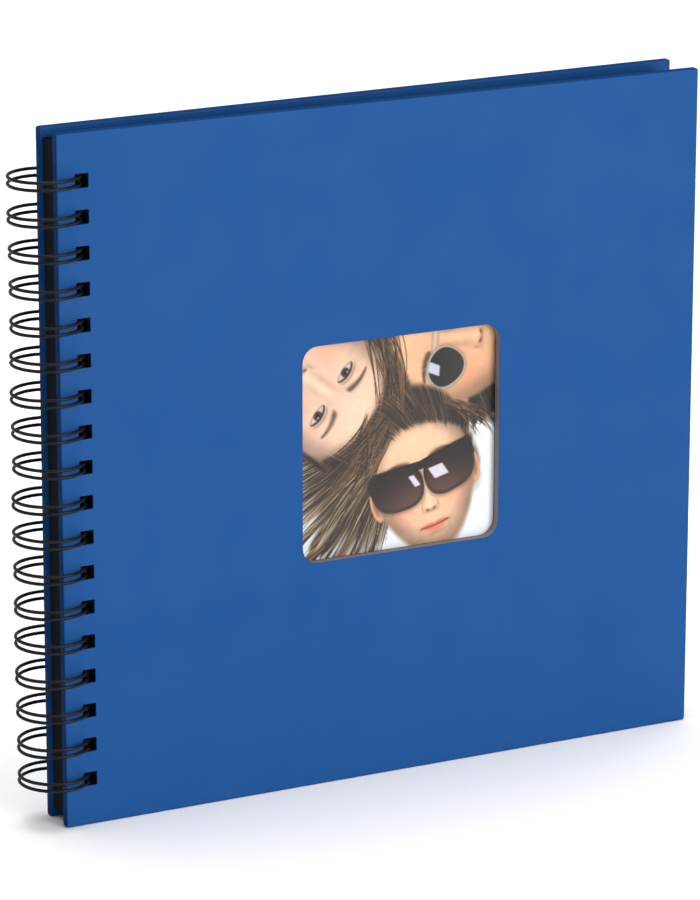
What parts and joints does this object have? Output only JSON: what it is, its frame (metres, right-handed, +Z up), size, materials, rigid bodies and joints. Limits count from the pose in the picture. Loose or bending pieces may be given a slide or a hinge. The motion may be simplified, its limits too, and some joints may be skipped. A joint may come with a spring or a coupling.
{
  "type": "scrapbook album",
  "caption": "Wire-bound square scrapbook album with hard wrapped covers, black card leaves and a framed picture window in the front cover; covers and leaves turn about the rings.",
  "frame": {"origin": "middle of the closed album's box, at the surface that it stands on", "axes": "+X from the spine to the fore-edge, +Y from the front cover to the back cover, +Z up along the spine"},
  "size_m": [0.2702, 0.0264, 0.25],
  "materials": {
    "cover_paper": "matte printed paper, finely calendered",
    "grey_board": "raw cut grey board",
    "lining_paper": "matte black paper",
    "black_card": "matte uncoated black card",
    "coated_wire": "satin black nylon coat on steel wire",
    "print": "satin picture print",
    "tape": "matte double-sided tape"
  },
  "bodies": {
    "back_cover": {"back_board": "grey_board", "back_wrap": "cover_paper", "back_liner": "lining_paper"},
    "wire": {"wire_binding": "coated_wire"},
    "leaf_01": {"leaf_01": "black_card"},
    "leaf_02": {"leaf_02": "black_card"},
    "leaf_03": {"leaf_03": "black_card"},
    "leaf_04": {"leaf_04": "black_card"},
    "leaf_05": {"leaf_05": "black_card"},
    "leaf_06": {"leaf_06": "black_card"},
    "leaf_07": {"leaf_07": "black_card"},
    "leaf_08": {"leaf_08": "black_card"},
    "leaf_09": {"leaf_09": "black_card"},
    "leaf_10": {"leaf_10": "black_card"},
    "leaf_11": {"leaf_11": "black_card"},
    "leaf_12": {"leaf_12": "black_card"},
    "leaf_13": {"leaf_13": "black_card"},
    "leaf_14": {"leaf_14": "black_card"},
    "leaf_15": {"leaf_15": "black_card"},
    "leaf_16": {"leaf_16": "black_card"},
    "leaf_17": {"leaf_17": "black_card"},
    "leaf_18": {"leaf_18": "black_card"},
    "leaf_19": {"leaf_19": "black_card"},
    "leaf_20": {"leaf_20": "black_card"},
    "front_cover": {"front_board": "grey_board", "front_wrap": "cover_paper", "front_liner": "lining_paper", "pocket_tape": "tape", "pocket_back": "lining_paper"},
    "picture": {"window_picture": "print"}
  },
  "joints": [
    {"name": "wire_turn", "type": "hinge", "parent": "back_cover", "child": "wire", "pos_m": [-0.12184, 0, 0], "axis": [0, 0, -1], "range_deg": [-60, 15]},
    {"name": "leaf_20_turn", "type": "hinge", "parent": "back_cover", "child": "leaf_20", "pos_m": [-0.12184, 0, 0], "axis": [0, 0, -1], "range_deg": [-0.06, 180]},
    {"name": "leaf_19_turn", "type": "hinge", "parent": "leaf_20", "child": "leaf_19", "pos_m": [-0.12184, 0, 0], "axis": [0, 0, -1], "range_deg": [-0.06, 180]},
    {"name": "leaf_18_turn", "type": "hinge", "parent": "leaf_19", "child": "leaf_18", "pos_m": [-0.12184, 0, 0], "axis": [0, 0, -1], "range_deg": [-0.06, 180]},
    {"name": "leaf_17_turn", "type": "hinge", "parent": "leaf_18", "child": "leaf_17", "pos_m": [-0.12184, 0, 0], "axis": [0, 0, -1], "range_deg": [-0.06, 180]},
    {"name": "leaf_16_turn", "type": "hinge", "parent": "leaf_17", "child": "leaf_16", "pos_m": [-0.12184, 0, 0], "axis": [0, 0, -1], "range_deg": [-0.06, 180]},
    {"name": "leaf_15_turn", "type": "hinge", "parent": "leaf_16", "child": "leaf_15", "pos_m": [-0.12184, 0, 0], "axis": [0, 0, -1], "range_deg": [-0.06, 180]},
    {"name": "leaf_14_turn", "type": "hinge", "parent": "leaf_15", "child": "leaf_14", "pos_m": [-0.12184, 0, 0], "axis": [0, 0, -1], "range_deg": [-0.06, 180]},
    {"name": "leaf_13_turn", "type": "hinge", "parent": "leaf_14", "child": "leaf_13", "pos_m": [-0.12184, 0, 0], "axis": [0, 0, -1], "range_deg": [-0.06, 180]},
    {"name": "leaf_12_turn", "type": "hinge", "parent": "leaf_13", "child": "leaf_12", "pos_m": [-0.12184, 0, 0], "axis": [0, 0, -1], "range_deg": [-0.06, 180]},
    {"name": "leaf_11_turn", "type": "hinge", "parent": "leaf_12", "child": "leaf_11", "pos_m": [-0.12184, 0, 0], "axis": [0, 0, -1], "range_deg": [-0.06, 180]},
    {"name": "leaf_10_turn", "type": "hinge", "parent": "leaf_11", "child": "leaf_10", "pos_m": [-0.12184, 0, 0], "axis": [0, 0, -1], "range_deg": [-0.06, 180]},
    {"name": "leaf_09_turn", "type": "hinge", "parent": "leaf_10", "child": "leaf_09", "pos_m": [-0.12184, 0, 0], "axis": [0, 0, -1], "range_deg": [-0.06, 180]},
    {"name": "leaf_08_turn", "type": "hinge", "parent": "leaf_09", "child": "leaf_08", "pos_m": [-0.12184, 0, 0], "axis": [0, 0, -1], "range_deg": [-0.06, 180]},
    {"name": "leaf_07_turn", "type": "hinge", "parent": "leaf_08", "child": "leaf_07", "pos_m": [-0.12184, 0, 0], "axis": [0, 0, -1], "range_deg": [-0.06, 180]},
    {"name": "leaf_06_turn", "type": "hinge", "parent": "leaf_07", "child": "leaf_06", "pos_m": [-0.12184, 0, 0], "axis": [0, 0, -1], "range_deg": [-0.06, 180]},
    {"name": "leaf_05_turn", "type": "hinge", "parent": "leaf_06", "child": "leaf_05", "pos_m": [-0.12184, 0, 0], "axis": [0, 0, -1], "range_deg": [-0.06, 180]},
    {"name": "leaf_04_turn", "type": "hinge", "parent": "leaf_05", "child": "leaf_04", "pos_m": [-0.12184, 0, 0], "axis": [0, 0, -1], "range_deg": [-0.06, 180]},
    {"name": "leaf_03_turn", "type": "hinge", "parent": "leaf_04", "child": "leaf_03", "pos_m": [-0.12184, 0, 0], "axis": [0, 0, -1], "range_deg": [-0.06, 180]},
    {"name": "leaf_02_turn", "type": "hinge", "parent": "leaf_03", "child": "leaf_02", "pos_m": [-0.12184, 0, 0], "axis": [0, 0, -1], "range_deg": [-0.06, 180]},
    {"name": "leaf_01_turn", "type": "hinge", "parent": "leaf_02", "child": "leaf_01", "pos_m": [-0.12184, 0, 0], "axis": [0, 0, -1], "range_deg": [-0.06, 180]},
    {"name": "front_cover_turn", "type": "hinge", "parent": "leaf_01", "child": "front_cover", "pos_m": [-0.12184, 0, 0], "axis": [0, 0, -1], "range_deg": [-0.06, 180]},
    {"name": "picture_slide", "type": "slide", "parent": "front_cover", "child": "picture", "axis": [0, 0, 1], "range_m": [0, 0.09]}
  ]
}
